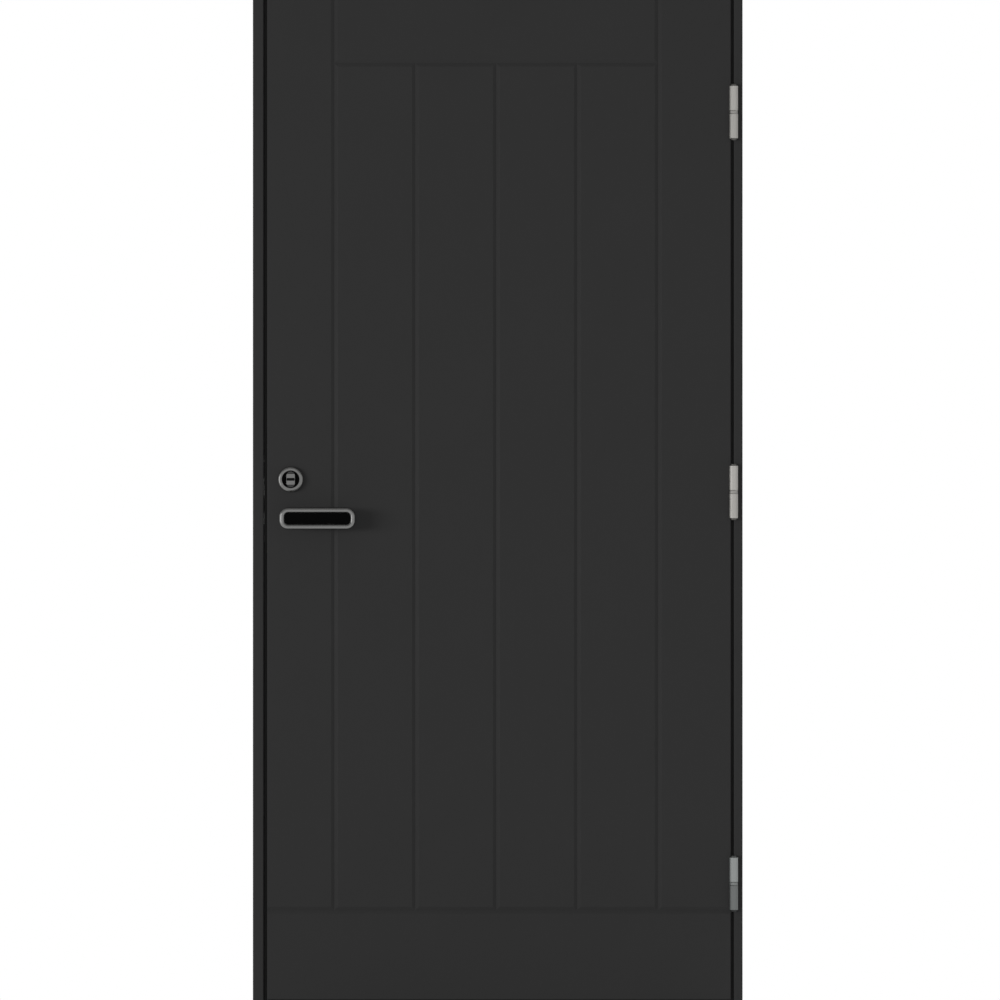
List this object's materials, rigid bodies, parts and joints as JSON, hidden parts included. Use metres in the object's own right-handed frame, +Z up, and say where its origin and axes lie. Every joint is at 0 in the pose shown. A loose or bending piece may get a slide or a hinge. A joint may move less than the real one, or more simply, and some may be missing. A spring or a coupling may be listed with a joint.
{
  "type": "shed door with frame, lift-off hinges and lever handle",
  "caption": "Dark painted outward-opening shed door in a rebated timber frame, with routed vertical grooves, lift-off hinges, a key cylinder and a wide lever handle.",
  "frame": {"origin": "the middle of the threshold's underside, on the floor, midway between the jambs' outer faces and midway through the frame's depth", "axes": "+X across the door towards the hinges, +Y from the outside to the inside, +Z up"},
  "size_m": [0.99, 0.158, 2.09],
  "materials": {
    "leaf_paint": "satin opaque dark grey paint on timber and fibreboard",
    "frame_paint": "satin opaque dark grey paint on timber",
    "seal_rubber": "matt",
    "hinge_steel": "satin zinc plating",
    "hinge_bearing": "dull sintered metal",
    "lock_steel": "satin steel",
    "satin_chrome": "satin chrome",
    "black_inlay": "half gloss",
    "black_cylinder": "blackened metal",
    "black_liner": "matt black"
  },
  "bodies": {
    "frame": {"lock_jamb": "frame_paint", "hinge_jamb": "frame_paint", "frame_head": "frame_paint", "threshold": "frame_paint", "lock_side_seal": "seal_rubber", "head_seal": "seal_rubber", "hinge_side_seal": "seal_rubber", "threshold_seal": "seal_rubber", "strike_plate": "lock_steel", "top_hinge_frame_plate": "hinge_steel", "top_hinge_pin": "hinge_steel", "top_hinge_bearing": "hinge_bearing", "middle_hinge_frame_plate": "hinge_steel", "middle_hinge_pin": "hinge_steel", "middle_hinge_bearing": "hinge_bearing", "bottom_hinge_frame_plate": "hinge_steel", "bottom_hinge_pin": "hinge_steel", "bottom_hinge_bearing": "hinge_bearing"},
    "leaf": {"outer_skin": "leaf_paint", "inner_skin": "leaf_paint", "lock_stile": "leaf_paint", "hinge_stile": "leaf_paint", "top_rail": "leaf_paint", "bottom_rail": "leaf_paint", "mortise_lock": "lock_steel", "latch_bolt": "lock_steel", "dead_bolt": "lock_steel", "cylinder_ring": "satin_chrome", "cylinder_liner": "black_liner", "lock_cylinder": "black_cylinder", "cylinder_plug": "black_cylinder", "key_guard": "satin_chrome", "thumb_turn_ring": "satin_chrome", "thumb_turn": "satin_chrome", "outer_rose": "satin_chrome", "inner_rose": "satin_chrome", "top_hinge_door_plate": "hinge_steel", "middle_hinge_door_plate": "hinge_steel", "bottom_hinge_door_plate": "hinge_steel"},
    "handle": {"outer_lever": "satin_chrome", "outer_grip_inlay": "black_inlay", "inner_lever": "satin_chrome", "inner_grip_inlay": "black_inlay", "spindle": "lock_steel"}
  },
  "joints": [
    {"name": "leaf_swing", "type": "hinge", "parent": "frame", "child": "leaf", "pos_m": [0.4765, -0.0565, 1.06], "axis": [0, 0, 1], "range_deg": [0, 170]},
    {"name": "handle_turn", "type": "hinge", "parent": "leaf", "child": "handle", "pos_m": [-0.4185, -0.025, 1.0065], "axis": [0, 1, 0], "range_deg": [0, 45], "stiffness_Nm_per_rad": 1.2, "springref_deg": -40.11}
  ]
}
